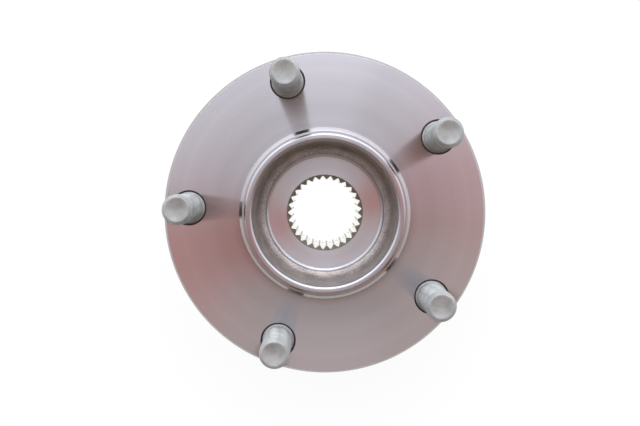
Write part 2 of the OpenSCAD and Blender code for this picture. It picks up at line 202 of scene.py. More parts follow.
# %% Measure each direction in the room
bpy.context.scene.world = bpy.data.worlds.new("studio")
room = empty_tree(bpy.context.scene.world)
picture_top = Vector((picture_up.x, picture_up.y, 0))
picture_right = Vector((picture_up.y, -picture_up.x, 0))
ray = add_node(room, "TexCoord").outputs["Generated"]
upward = add_node(room, "VectorMath", (ray, picture_top), operation="DOT_PRODUCT")
flat_ray = add_node(room, "VectorMath", (ray, (1, 1, 0)), operation="MULTIPLY")
off_axis = add_node(room, "VectorMath", (flat_ray,), operation="LENGTH")
azimuth = add_node(room, "VectorMath", (flat_ray,), operation="NORMALIZE")
gain = add_node(room, "Math", (upward, rise), operation="MULTIPLY")
wanted = add_node(room, "Math", (gain, overhead), operation="ADD")
raised = add_node(room, "Math", (wanted, dimmest), operation="MAXIMUM")
level = add_node(room, "Math", (raised, brightest), operation="MINIMUM")
room_colour = add_node(room, "VectorMath", (linear(sky_tint)[:3], level), operation="SCALE")
print(len(room.nodes), "nodes make the sky")


# %% Paint the things into the room
def tint_room(colour, most, value, start, end, fade):
    """Mixes a colour into the room, up to most while value runs from start to end, less along fade."""
    spread = add_node(room, "MapRange", (value, start, end, 0, most), interpolation_type="SMOOTHSTEP")
    height = add_node(room, "MapRange", (off_axis, *fade, 0, 1), interpolation_type="SMOOTHSTEP")
    share = add_node(room, "Math", (spread, height), operation="MULTIPLY")
    return add_node(room, "Mix", (share, room_colour, linear(colour)), data_type="RGBA")


room_colour = tint_room(below_colour, below_most, upward, *below_start, below_fade)
for degrees, reach, colour in things:
    turn = math.radians(degrees)
    towards = math.cos(turn) * picture_right + math.sin(turn) * picture_top
    facing = add_node(room, "VectorMath", (azimuth, towards), operation="DOT_PRODUCT")
    edge_and_core = [math.cos(math.radians(reach * share)) for share in (1, thing_core)]
    room_colour = tint_room(colour, thing_most, facing, *edge_and_core, thing_fade)
print(len(room.nodes), "nodes make the room")

# %% Show the room to metal, and white to the camera
soft_light = add_node(room, "Background", (room_colour, 1))
backdrop = add_node(room, "Background", (white, 1))
to_camera = add_node(room, "LightPath").outputs["Is Camera Ray"]
seen = add_node(room, "MixShader", (to_camera, soft_light, backdrop))
add_node(room, "OutputWorld", (seen,))

# %% Hang one soft lamp at the top of the picture
lamp_power = 1.5
lamp_size = 0.5
lamp_reach = 0.75
lamp_at = picture_top * lamp_reach + Vector((0, 0, lamp_reach))
lamp_data = bpy.data.lights.new("diffuser", "AREA")
lamp_data.energy = lamp_power
lamp_data.size = lamp_size
lamp_data.color = linear(sky_tint)[:3]
lamp = add_object("diffuser", lamp_data)
lamp.location = lamp_at
lamp.rotation_euler = lamp_at.to_track_quat("Z", "Y").to_euler()
print(f"lamp of {lamp_power} W, {lamp_at.length:.2f} m away")

# %% Lay the white floor
floor_reach = 3
# The share of the card's look that doesn't take shadow, in the open and seen through the bore. Under the
# bore it is all glow, which is painted light that keeps the shaded card white.
floor_glow, bore_painted_light = 0.9, 1.0


def white_floor():
    """White card that looks white to the camera and in metal, and still takes the hub's shadow, except under
    the bore, where painted light fills it.
    """
    card = bpy.data.materials.new("white card")
    tree = empty_tree(card)
    path = add_node(tree, "LightPath").outputs
    bounced = (path["Is Glossy Ray"], path["Is Transmission Ray"])
    mirrored = add_node(tree, "Math", bounced, operation="MAXIMUM")
    looked_at = add_node(tree, "Math", (path["Is Camera Ray"], mirrored), operation="MAXIMUM")
    place = add_node(tree, "TexCoord").outputs["Object"]
    distance = add_node(tree, "VectorMath", (place,), operation="LENGTH")
    bore = relief_r * MM
    # Painted light: inside the bore's circle the card glows fully, so the hub's shadow there doesn't show.
    glow_share_with_bore_light = add_node(tree, "MapRange", (distance, bore, 2 * bore, bore_painted_light, floor_glow))
    share = add_node(tree, "Math", (looked_at, glow_share_with_bore_light), operation="MULTIPLY")
    matt = add_node(tree, "BsdfDiffuse", {"Color": white})
    glow = add_node(tree, "Emission", {"Color": white, "Strength": 1})
    mixed = add_node(tree, "MixShader", (share, matt, glow))
    add_node(tree, "OutputMaterial", (mixed,))
    return card


floor_mesh = bpy.data.meshes.new("floor")
corners = [(x * floor_reach, y * floor_reach, 0) for x, y in ((-1, -1), (1, -1), (1, 1), (-1, 1))]
floor_mesh.from_pydata(corners, [], [(0, 1, 2, 3)])
floor_mesh.materials.append(white_floor())
floor = add_object("floor", floor_mesh)
floor.location.z = swage_z * MM
bpy.context.scene.view_settings.view_transform = "Standard"
print(f"floor {-swage_z:.1f} mm below the wheel face")

# %% [markdown]
# ## Finishes of metal
# One kind of steel looks different wherever another tool has shaped it. A photograph of each
# finish could be laid on, but noise that follows the tool's path stays sharp close up and needs
# no picture. Turned and ground faces carry fine marks round the axle, so a light smears out
# across them, along the radius: that is anisotropy, and its tangent points the way of the smear.
# Broached, bored and drilled walls are streaked along the tool's way. Forged skin is pitted and
# brown-grey with scale, and the rolled collar is smoother. The studs are plated. Each finish
# reads Object coordinates, so it stays put when the hub turns.

# %% Material helpers
# Noise seldom leaves the middle of its range. The first of these parts of it is spread over all
# of the tones, and the second over all of the roughness.
tone_range = (0.35, 0.65)
rough_range = (0.3, 0.7)


def start_material(name):
    """A new material, its tree, and the point's own coordinates on its piece, in millimetres."""
    made = bpy.data.materials.new(name)
    tree = empty_tree(made)
    place = add_node(tree, "TexCoord").outputs["Object"]
    return made, tree, add_node(tree, "VectorMath", (place, 1 / MM), operation="SCALE")


def grain(tree, place, size, detail=3, roughness=0.55, stretch=(1, 1, 1)):
    """Noise between 0 and 1 whose blotches are about size millimetres wide."""
    scaled = add_node(tree, "VectorMath", (place, stretch), operation="MULTIPLY")
    return add_node(tree, "TexNoise", {
        "Vector": scaled, "Scale": 1 / size, "Detail": detail, "Roughness": roughness})


def two_tones(tree, noise, dark, light):
    """The dark and the light tone of a finish, mixed by its noise."""
    share = add_node(tree, "MapRange", (noise, *tone_range, 0, 1))
    return add_node(tree, "Mix", (share, linear(dark), linear(light)), data_type="RGBA")


def end_material(made, colour, pattern, roughness, swing, depth, **more):
    """Adds the shader. Its roughness swings by a share with a pattern that stands depth millimetres high."""
    tree = made.node_tree
    low, high = roughness * (1 - swing), roughness * (1 + swing)
    rough = add_node(tree, "MapRange", (pattern, *rough_range, low, high))
    bump = add_node(tree, "Bump", {"Height": pattern, "Distance": depth * MM, "Strength": 1})
    shader = add_node(tree, "BsdfPrincipled", {
        "Base Color": colour, "Roughness": rough, "Normal": bump, **more})
    add_node(tree, "OutputMaterial", (shader,))
    return made


# %% Turned and ground steel
# The marks are shallow. Bands of many marks and an oily film vary the tone.
mark_depth = 0.002
band_marks = 14
film_size, film_share = 26, 0.25
# How strongly the painted light towards the rim outweighs the tone of the marks.
painted_brightening_share = 0.7


def turned_steel(name, dark, light, roughness, anisotropy, groove, painted_brightening=None):
    """Steel cut or ground on a lathe, with marks round the axle that are groove millimetres apart.

    The last argument gives two distances from the axle between which the steel turns lighter. This is
    painted light, standing in for the brighter reflection towards the rim.
    """
    made, tree, place = start_material(name)
    x, y, height = add_node(tree, "SeparateXYZ", (place,)).outputs
    flat = add_node(tree, "CombineXYZ", (x, y))
    radius = add_node(tree, "VectorMath", (flat,), operation="LENGTH")
    outward = add_node(tree, "VectorMath", (flat,), operation="NORMALIZE")
    across = add_node(tree, "VectorTransform", (outward,),
                      vector_type="VECTOR", convert_from="OBJECT", convert_to="WORLD")
    section = add_node(tree, "CombineXYZ", {"X": radius, "Z": height})
    marks = grain(tree, section, groove, detail=2)
    bands = grain(tree, section, band_marks * groove, detail=2)
    film = grain(tree, place, film_size, detail=2)
    tone = add_node(tree, "Mix", (film_share, bands, film))
    share = add_node(tree, "MapRange", (tone, *tone_range, 0, 1))
    # Painted light: the colour turns lighter between the two distances, as the reflection does towards the
    # rim.
    if painted_brightening:
        outer = add_node(tree, "MapRange", (radius, *painted_brightening, 0, 1))
        share = add_node(tree, "Mix", (painted_brightening_share, share, outer))
    colour = add_node(tree, "Mix", (share, linear(dark), linear(light)), data_type="RGBA")
    return end_material(made, colour, marks, roughness, 0.05, mark_depth,
                        Metallic=1.0, Anisotropic=anisotropy, Tangent=across)


# The wheel face and the nut seat, faced on a lathe: satin, with smeared highlights. The real
# feed marks are 0.2 mm apart, and are drawn at 0.5 mm so that the picture can show them.
# The face turns lighter from 37 to 65 mm out. This is painted light for its brighter reflection there.
face_steel = turned_steel("turned steel, faced", "#A3A0A0", "#B7B4B4", 0.25, 1.0, 0.5, (37, 65))
seat_steel = turned_steel("turned steel, nut seat", "#ADAAAA", "#B7B4B4", 0.25, 1.0, 0.5)
# Chamfers, cut with a form tool and left as they are: between satin and mirror.
chamfer_steel = turned_steel("turned steel, chamfers", "#ABA7A6", "#B3AFAE", 0.28, 0.5, 0.5)
# The pilot ring, ground to size: nearly a mirror.
pilot_steel = turned_steel("ground steel, pilot", "#ABA6A5", "#B7B2B1", 0.19, 0.45, 0.4)
# Raceways, seal lands and ring ends, ground and honed: brighter and finer still.
race_steel = turned_steel("ground steel, bearing", "#B4B4B5", "#C2C2C3", 0.16, 0.5, 0.4)
print(f"five turned and ground steels, with marks {1000 * mark_depth:.0f} thousandths of a mm deep")


# %% Broached, forged and rolled steel
# Widths and depths in millimetres. A streak is twenty times as long as it is wide.
streak_w, streak_depth, streak_squeeze = 0.4, 0.01, 0.05
pit_w, stain_w, stain_share = 0.55, 7, 0.3


def streaked_steel(name, dark, light, roughness):
    """Steel cut by a tool that was pulled or pushed along the axle, which leaves fine streaks that way."""
    made, tree, place = start_material(name)
    streaks = grain(tree, place, streak_w, detail=2, stretch=(1, 1, streak_squeeze))
    colour = two_tones(tree, streaks, dark, light)
    return end_material(made, colour, streaks, roughness, 0.2, streak_depth, Metallic=1.0)


def forged_steel(name, dark, light, metallic, roughness, pit_depth):
    """Pressed steel that no tool has cut: small pits, and wider stains."""
    made, tree, place = start_material(name)
    pits = grain(tree, place, pit_w, roughness=0.7)
    stains = grain(tree, place, stain_w)
    mixed = add_node(tree, "Mix", (stain_share, pits, stains))
    colour = two_tones(tree, mixed, dark, light)
    return end_material(made, colour, pits, roughness, 0.15, pit_depth, Metallic=metallic)


# The teeth of the spline, cut by the broach: bright and clean, with a near-white colour that is painted
# light, so that they shine white in the bore.
spline_painted_light_steel = streaked_steel("broached steel, spline", "#EFEADC", "#FFFBEF", 0.12)
# The tops of the teeth, left from boring: duller than their flanks, and darker in colour as painted shade,
# since they lie in shade.
crest_painted_shade = streaked_steel("bored steel, tooth crests", "#8C8982", "#B5B1A8", 0.3)
# The cut ends of the teeth, which slope away from the light: dull, and their dark olive colour is painted
# shade. dull and olive.
mouth_painted_shade = streaked_steel("cut steel, tooth ends", "#8A8576", "#A6A08F", 0.5)
# The walls of the stud holes, drilled and oily, and darkened further with painted shade for the deep, narrow
# gap: the dark ring round each stud.
drilled_steel_and_gap_shade = streaked_steel("drilled steel, stud holes", "#4A4745", "#5F5B58", 0.5)
# The pocket inside the ring, as forged and shot-blasted: coarse pits, brown-grey, hardly a gleam.
pocket_steel = forged_steel("forged steel, pocket", "#7A706B", "#CCC0B6", 0.95, 0.48, 0.11)
# The outer ring's skin, forged too, but darker with scale.
forged_skin = forged_steel("forged steel, blasted", "#6A6664", "#8A8684", 0.8, 0.48, 0.07)
# The collar, rolled over cold: smooth, with a soft gleam.
rolled_steel = forged_steel("cold-rolled steel, collar", "#8F8B89", "#A29E9B", 1.0, 0.3, 0.008)
print("four streaked steels and three pressed ones")


# %% Plated steel
# Real flakes are too fine to show, so they are drawn a third of a millimetre wide.
flake_w, flake_depth, handling_w = 0.35, 0.02, 5
# Pointiness is a half where the surface is even, and less where it is hollow. The hollows get painted shade.
hollow_range, root_shade_most = (0.42, 0.5), 0.75


def plated_steel(name, dark, light, root_shade, roughness):
    """Zinc-flake plating: a light grey skin of flakes, with marks of handling, and painted shade in the
    hollows.
    """
    made, tree, place = start_material(name)
    flakes = grain(tree, place, flake_w, roughness=0.7)
    handling = grain(tree, place, handling_w, detail=2)
    mixed = add_node(tree, "Mix", (0.5, flakes, handling))
    skin = two_tones(tree, mixed, dark, light)
    # Painted shade darkens the roots of the thread, where the surface is hollow.
    hollow = add_node(tree, "NewGeometry").outputs["Pointiness"]
    share = add_node(tree, "MapRange", (hollow, *hollow_range, root_shade_most, 0))
    colour = add_node(tree, "Mix", (share, skin, linear(root_shade)), data_type="RGBA")
    return end_material(made, colour, flakes, roughness, 0.15, flake_depth, Metallic=0.4)


# The studs: an even, light grey that is neither mirror nor paint, with painted shade in the roots of the
# thread.
stud_plating_and_root_shade = plated_steel("zinc-flake plated steel", "#82827C", "#A8A8A2", "#3C3B38", 0.5)
print(f"plating with flakes {flake_w} mm wide")

# %% [markdown]
# ## Finishes inside the bearing
# Most of these pieces are sealed in, and show only when the unit comes apart or is seen from
# behind. They could stay grey, but a part that is taken apart should still tell what it is made
# of. The balls are lapped to a mirror. The cages are moulded in glass-filled nylon, the seals
# are black nitrile rubber on stamped steel, and the encoder ring is rubber filled with magnetic
# powder.

# %% Balls, cages and seals
def moulded(name, dark, light, roughness, mottle_size, depth, ior):
    """Plastic or rubber from a mould: one colour with a little mottling, and the mould's fine texture."""
    made, tree, place = start_material(name)
    mottle = grain(tree, place, mottle_size)
    return end_material(made, two_tones(tree, mottle, dark, light), mottle, roughness, 0.1, depth, IOR=ior)


def lapped_steel():
    """Bearing steel lapped to a mirror, with the faintest haze."""
    made, tree, place = start_material("lapped steel, balls")
    haze = grain(tree, place, 3)
    colour = add_node(tree, "Mix", (haze, linear("#CDCDCF"), linear("#D6D6D8")), data_type="RGBA")
    rough = add_node(tree, "MapRange", (haze, 0, 1, 0.05, 0.09))
    shader = add_node(tree, "BsdfPrincipled", {"Base Color": colour, "Roughness": rough, "Metallic": 1.0})
    add_node(tree, "OutputMaterial", (shader,))
    return made


# Nylon is honey brown and half dull, rubber is black and dull, and sheet steel gleams softly.
finishes = {
    "inner_ring_steel": race_steel,
    "ball_steel": lapped_steel(),
    "cage_polymer": moulded("glass-filled nylon", "#9A6A3E", "#A87747", 0.45, 1.2, 0.01, 1.53),
    "seal_case_steel": forged_steel("stamped sheet steel", "#757371", "#8B8987", 1.0, 0.35, 0.01),
    "seal_rubber": moulded("nitrile rubber", "#131313", "#1B1B1B", 0.5, 0.8, 0.01, 1.52),
    "slinger_steel": turned_steel("stamped stainless steel", "#AEAFB0", "#BBBCBD", 0.25, 0.3, 0.6),
    "encoder_rubber": moulded("magnetic rubber", "#1B1918", "#252221", 0.4, 1.5, 0.005, 1.52),
}
for part in frame["record"]["subparts"]:
    finish = finishes.get(part["material_slot"])
    if finish:
        mesh = frame["nodes"][part["node"]].data
        mesh.materials.clear()
        mesh.materials.append(finish)
print(len(finishes), "finishes on the solids of the bearing")

# %% [markdown]
# ## Turning a profile
# Nearly every part of a hub is turned, so one drawing of half its section gives the whole part.
# Blender's Screw modifier could turn it, but rows of points can also follow a formula, which is
# how the spline's teeth and the four-eared flange are made. A profile is a list of corners, each
# with its distance from the axle, its height and the radius that rounds it. Sharp corners don't
# exist on real metal, and a rounded one catches the thin bright line that makes an edge look
# real. The profile is then lofted: rows of points run round the axle, and quads join each row
# to the next.

# %% Profile helpers
arc_step = math.radians(15)


def arc(centre, radius, start, end, steps=2):
    """Points of an arc in the section, between two angles in degrees."""
    turn = math.radians(end - start)
    count = max(steps, math.ceil(abs(turn) / arc_step))
    angles = [math.radians(start) + turn * i / count for i in range(count + 1)]
    return [(centre[0] + radius * math.cos(a), centre[1] + radius * math.sin(a), 0) for a in angles]


def rounded(corners):
    """The points of a closed profile whose corners are (distance, height, rounding)."""
    points = []
    for i, (r, z, size) in enumerate(corners):
        if not size:
            points.append((r, z))
            continue
        here = Vector((r, z))
        before = Vector(corners[i - 1][:2]) - here
        after = Vector(corners[(i + 1) % len(corners)][:2]) - here
        half = before.angle(after) / 2
        # Two roundings on one short side share it: each takes a little less than half.
        reach = min(size / math.tan(half), before.length * 0.45, after.length * 0.45)
        radius = reach * math.tan(half)
        middle = here + (before.normalized() + after.normalized()).normalized() * (radius / math.sin(half))
        start = here + before.normalized() * reach - middle
        end = here + after.normalized() * reach - middle
        steps = max(2, math.ceil((math.pi - 2 * half) / arc_step))
        for step in range(steps + 1):
            # slerp gives a direction alone, so the radius is put back.
            spoke = start.slerp(end, step / steps) * radius if start.angle(end) > 1e-4 else start
            points.append(tuple(middle + spoke))
    return points


# %% Loft helpers
same_point = 1e-7


def even_angles(count):
    """Angles round the axle, in radians."""
    return [2 * math.pi * i / count for i in range(count)]


def round_point(r, angle, z):
    """A point by its distance from the axle, its angle and its height."""
    return (r * math.cos(angle), r * math.sin(angle), z)


def ring_row(r, z, angles):
    """One row of points round the axle, or a single point on it."""
    return [round_point(r, angle, z) for angle in angles] if r > 1e-6 else [(0, 0, z)]


def loft(name, rows, closed=True):
    """A mesh through rows of points round the axle. A row of one point closes the mesh at a pole."""
    mesh = bpy.data.meshes.new(name)
    starts, points, faces = [], [], []
    for row in rows:
        starts.append(len(points))
        points.extend(Vector(p) * MM for p in row)
    for low in range(len(rows) if closed else len(rows) - 1):
        high = (low + 1) % len(rows)
        count = max(len(rows[low]), len(rows[high]))
        for i in range(count):
            j = (i + 1) % count
            corners = [starts[low] + i % len(rows[low]), starts[low] + j % len(rows[low]),
                       starts[high] + j % len(rows[high]), starts[high] + i % len(rows[high])]
            faces.append(list(dict.fromkeys(corners)))
    mesh.from_pydata(points, [], faces)
    shape = bmesh.new()
    shape.from_mesh(mesh)
    bmesh.ops.remove_doubles(shape, verts=shape.verts, dist=same_point)
    bmesh.ops.recalc_face_normals(shape, faces=shape.faces)
    shape.to_mesh(mesh)
    shape.free()
    return add_object(name, mesh)


def lathe(name, corners, angles, closed=True):
    """A mesh turned from a profile."""
    return loft(name, [ring_row(r, z, angles) for r, z in rounded(corners)], closed)


# %% Mesh helpers
def settle(piece):
    """Turns a piece's modifiers into its plain mesh."""
    graph = bpy.context.evaluated_depsgraph_get()
    mesh = bpy.data.meshes.new_from_object(piece.evaluated_get(graph), depsgraph=graph)
    piece.modifiers.clear()
    piece.data = mesh
    mesh.name = piece.name
    return piece


def join(name, pieces):
    """One object with the meshes of several."""
    shape = bmesh.new()
    for piece in pieces:
        shape.from_mesh(piece.data)
        bpy.data.objects.remove(piece)
    mesh = bpy.data.meshes.new(name)
    shape.to_mesh(mesh)
    shape.free()
    return add_object(name, mesh)


def cut(piece, tool):
    """Cuts the tool's shape out of the piece, and throws the tool away."""
    modifier = piece.modifiers.new("cut", "BOOLEAN")
    modifier.object = tool
    modifier.operation = "DIFFERENCE"
    modifier.solver = "EXACT"
    settle(piece)
    bpy.data.objects.remove(tool)


def paint(piece, materials, choose):
    """Gives each face the material whose name choose returns for its distance from the axle and height."""
    names = list(materials)
    for name in names:
        piece.data.materials.append(materials[name])
    for face in piece.data.polygons:
        place = face.center / MM
        face.material_index = names.index(choose(math.hypot(place.x, place.y), place.z))


# %% Helpers that finish a piece
hard_edge = math.radians(32)


def smooth(piece):
    """Shades a piece smoothly between its hard edges, with flat faces kept flat."""
    piece.data.polygons.foreach_set("use_smooth", [True] * len(piece.data.polygons))
    piece.data.set_sharp_from_angle(angle=hard_edge)
    modifier = piece.modifiers.new("flat faces stay flat", "WEIGHTED_NORMAL")
    modifier.keep_sharp = True
    settle(piece)


def dress(piece, body, slot, *nodes):
    """Smooths a piece, and lets it ride on a body and stand for its CAD nodes. Its slot is not used."""
    smooth(piece)
    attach(piece, body)
    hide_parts(*nodes)
    print(f"{piece.name}: {len(piece.data.vertices)} points, {len(piece.data.polygons)} faces")


# %% [markdown]
# ## Geometry Nodes helpers
# What repeats by a rule, such as threads, ribs and studs, could be copied in a loop, but a
# Geometry Nodes tree is a recipe that keeps its sizes as named inputs. The modifier that runs it
# knows each input by an identifier, so a helper looks that up from the name. The result is
# turned into a plain mesh at once, and the modifier goes.

# %% Geometry Nodes helpers
def new_recipe(name, **inputs):
    """A Geometry Nodes tree with geometry in and out, a material, and inputs named under their kind."""
    tree = bpy.data.node_groups.new(name, "GeometryNodeTree")
    for direction in ("INPUT", "OUTPUT"):
        tree.interface.new_socket("Geometry", in_out=direction, socket_type="NodeSocketGeometry")
    for kind, labels in {**inputs, "Material": ["Material"]}.items():
        for label in labels:
            tree.interface.new_socket(label, in_out="INPUT", socket_type="NodeSocket" + kind)
    return tree, add_node(tree, "NodeGroupInput").outputs


def end_recipe(tree, geometry, material):
    """Realizes the instances, sets the material and sends the geometry out."""
    real = add_node(tree, "GeometryNodeRealizeInstances", (geometry,))
    covered = add_node(tree, "GeometryNodeSetMaterial", {"Geometry": real, "Material": material})
    add_node(tree, "NodeGroupOutput", (covered,))
    return tree


def run_recipe(piece, tree, values):
    """Runs a tree on a piece, with its inputs given by name, and leaves a plain mesh."""
    modifier = piece.modifiers.new(tree.name, "NODES")
    modifier.node_group = tree
    for item in tree.interface.items_tree:
        if item.name in values:
            modifier[item.identifier] = values[item.name]
    return settle(piece)


# %% [markdown]
# ## The spindle
# The real spindle is forged in one piece, then turned, ground and broached. Its wheel face lies
# square to the axle, and a two-step ring stands on it: the outer step centres the brake disc and
# the inner one the wheel. Inside the ring lies the forged pocket, with a turned seat for the
# axle nut, and the splined bore. One lofted profile gives all of it, with the rows in the bore
# following the teeth. The stud holes aren't round the axle, so they are cut afterwards with five
# plain cutters.

# %% Spline teeth
spline_teeth = 29
spline_tip_r = 14.4
spline_root_r = 15.65
spline_turn = math.radians(2.8)
spline_end_z = -46
tip_edge = 0.39
root_edge = 0.05
# Columns of points across one tooth space, as shares of the pitch from its middle.
flank = (root_edge, 0.11, 0.22, 0.33, tip_edge)
tooth_columns = (-0.5, *(-share for share in reversed(flank)), *flank)


def tooth_radius(share):
    """Distance of the bore's wall from the axle, at a share of the pitch from the middle of a space."""
    across = (abs(share) - root_edge) / (tip_edge - root_edge)
    return spline_root_r + (spline_tip_r - spline_root_r) * min(max(across, 0), 1)


columns = [(tooth, share) for tooth in range(spline_teeth) for share in tooth_columns]
spindle_angles = [spline_turn + (tooth + share) * 2 * math.pi / spline_teeth for tooth, share in columns]
tooth_radii = [tooth_radius(share) for tooth, share in columns]
print(len(columns), "columns round the spindle")

# %% Sizes of the spindle's section
# The pilot ring and the pocket.
pilot_step_z = 6.5
disc_chamfer = 1.3
lead_round = 1.15
pocket_r = 29.6
mouth_round = 1.3
pocket_draft, pocket_slope = 5, 25
seat_r = 23.6
seat_fillet = 1.6
# The flange and the seal's land behind it.
flange_t = 10.5
rim_chamfer = 0.9
pad_z = -11.5
pad_r = 45.65
land_r = 29.785
land_fillet = 3.5
# The raceway, the seat of the inner ring and the rolled collar.
pitch_r = 33
race_r = 6.43
row_out_z, row_in_z = -26.4, -51.4
inner_low_r = 26.79
inner_seat_r = 21.5
inner_top_z, inner_end_z = -38.9, -64.6
swage_r = 26.5
swage_roll = 3
swage_dish = 2.6
swage_flare = 3.3
edge = 0.25
print(f"pocket {2 * pocket_r:.1f} mm wide, {ring_top_z - seat_z:.1f} mm deep")


# %% Section of the spindle
def pocket_arc():
    """The arc that runs from the nut seat's fillet up the drafted wall to the pocket's mouth."""
    mouth = Vector((pocket_r, ring_top_z - mouth_round))
    foot = Vector((seat_r + seat_fillet, seat_z + seat_fillet))
    draft = math.radians(pocket_draft)
    slope = math.radians(pocket_slope - 90)
    inwards = Vector((-math.cos(draft), math.sin(draft)))
    to_foot = Vector((math.cos(slope), math.sin(slope)))
    radius = (foot - mouth).dot(inwards) / (1 + to_foot.dot(inwards))
    return arc(foot - radius * to_foot, radius, pocket_slope - 90, -pocket_draft)


def spindle_profile():
    """The section, from the nut seat out over the flange, down and back to the bore."""
    return rounded([
        (relief_r, seat_z, 0),
        *arc((seat_r, seat_z + seat_fillet), seat_fillet, -90, 0),
        *pocket_arc(),
        *arc((pocket_r + mouth_round, ring_top_z - mouth_round), mouth_round, 180, 90),
        *arc((wheel_pilot_r - lead_round, ring_top_z - lead_round), lead_round, 90, 0),
        (wheel_pilot_r, pilot_step_z, 0.2),
        (disc_pilot_r - disc_chamfer, pilot_step_z, edge),
        (disc_pilot_r, pilot_step_z - disc_chamfer, edge),
        (disc_pilot_r, 0, 0.5),
        (flange_r - rim_chamfer, 0, 0.15),
        (flange_r, -rim_chamfer, 0.1),
        (flange_r, rim_chamfer - flange_t, edge),
        (flange_r - rim_chamfer, -flange_t, edge),
        (pad_r + 1, -flange_t, 0.5),
        (pad_r, pad_z, edge),
        *arc((land_r + land_fillet, pad_z - land_fillet), land_fillet, 90, 180),
        *arc((pitch_r, row_out_z), race_r, 120, 195),
        (inner_low_r, inner_top_z, edge),
        (inner_seat_r, inner_top_z, edge),
        (inner_seat_r, inner_end_z, 0),
        (swage_r, inner_end_z, 0.6),
        *arc((swage_r - swage_roll, swage_z + swage_roll), swage_roll, 0, -90),
        (relief_r + swage_flare, swage_z, 0.8),
        (relief_r, swage_z + swage_dish, 0.8),
        (relief_r, spline_end_z, 0),
    ])


def spindle_rows():
    """All rows of the spindle. The last two follow the teeth, and the upper one is chamfered."""
    rows = [ring_row(r, z, spindle_angles) for r, z in spindle_profile()]
    toothed = list(zip(tooth_radii, spindle_angles))
    rows.append([round_point(r, angle, spline_end_z) for r, angle in toothed])
    rows.append([round_point(r, angle, seat_z - (relief_r - r)) for r, angle in toothed])
    return rows


# %% Stud holes
knurl_r = thread_r + 0.7
hole_mouth_r = knurl_r + 0.65
hole_mouth_h = 1.4
hole_chamfer = 0.08
over = 1.0


def stud_angle(number):
    """The direction of a stud; the first stands on +Y."""
    return math.pi / 2 + number * 2 * math.pi / stud_count


def stud_hole_tool():
    """Five cutters, each with the counterbore and its broken edge."""
    profile = [
        (0, pad_z - over, 0), (knurl_r, pad_z - over, 0), (knurl_r, -hole_mouth_h, 0),
        (hole_mouth_r, -hole_mouth_h, 0), (hole_mouth_r, -hole_chamfer, 0),
        (hole_mouth_r + hole_chamfer, 0, 0), (hole_mouth_r + hole_chamfer, over, 0), (0, over, 0)]
    tools = []
    for number in range(stud_count):
        tool = lathe(f"hole_{number}", profile, even_angles(64), closed=False)
        turn = Matrix.Rotation(stud_angle(number), 4, "Z")
        tool.data.transform(turn @ Matrix.Translation((stud_circle_r * MM, 0, 0)))
        tools.append(tool)
    return join("stud_holes", tools)


# %% Choose the finish of each face of the spindle
# How far a face's middle may lie from the line that divides two finishes.
slack = 0.05


def bore_finish(r, z):
    """The finish inside the splined bore."""
    if seat_z - 0.02 > z > seat_z - 2:
        return "mouth"
    return "crest" if r < spline_tip_r + 0.02 else "spline"


def ring_finish(r, z):
    """The finish of the pilot ring above the face."""
    if z > ring_top_z - slack:
        return "face"
    return "chamfer" if z > ring_top_z - lead_round else "pilot"


def spindle_finish(r, z):
    """The finish of the spindle at a distance from the axle and a height."""
    if r < relief_r + 0.01 and seat_z > z > spline_end_z - 0.5:
        return bore_finish(r, z)
    if pocket_r > r > seat_r and ring_top_z - mouth_round > z > seat_z + 0.85 * seat_fillet:
        return "pocket"
    if z > slack:
        return ring_finish(r, z)
    if r > flange_r - rim_chamfer + slack:
        return "pilot"
    behind_land = r > land_r + 1
    if behind_land and flange_r - rim_chamfer - 0.1 > r and -0.5 * hole_chamfer > z > 0.1 - flange_t:
        return "hole"
    if behind_land and z > -flange_t - 2:
        return "face"
    if z > seat_z - 1:
        return "seat"
    return "rolled" if r < swage_r + 1 and z < inner_end_z + 0.1 else "ground"


# %% Make the spindle
spindle = loft("spindle", spindle_rows())
cut(spindle, stud_hole_tool())
paint(spindle, {
    "face": face_steel, "seat": seat_steel, "pilot": pilot_steel, "chamfer": chamfer_steel,
    "pocket": pocket_steel, "mouth": mouth_painted_shade, "spline": spline_painted_light_steel, "crest": crest_painted_shade,
    "hole": drilled_steel_and_gap_shade, "rolled": rolled_steel, "ground": race_steel}, spindle_finish)
dress(spindle, "hub", "spindle_steel", "hub_spindle")

# %% [markdown]
# ## The wheel studs
# A wheel stud is cold-headed from wire, its thread is rolled, and a knurl below the thread cuts
# its own seat when the stud is pressed in. A thread could be swept along a helix, but its ends
# would need care. Here the blank is turned from a profile with many rows along the thread, and a
# first recipe presses the thread into it: it moves each point towards the stud's axis by a
# V-shaped wave that climbs one pitch per turn, and fades out at both ends. The same recipe cuts
# the taps for the knuckle bolts. A second recipe adds the ribs of the knurl, and a third puts
# one stud at each point of a circle.

# %% Recipe that rolls a thread
# The crest is an eighth of the pitch wide and the root a quarter, as in metric threads.
crest_half, root_start = 1 / 16, 3 / 8
thread_steps = 8


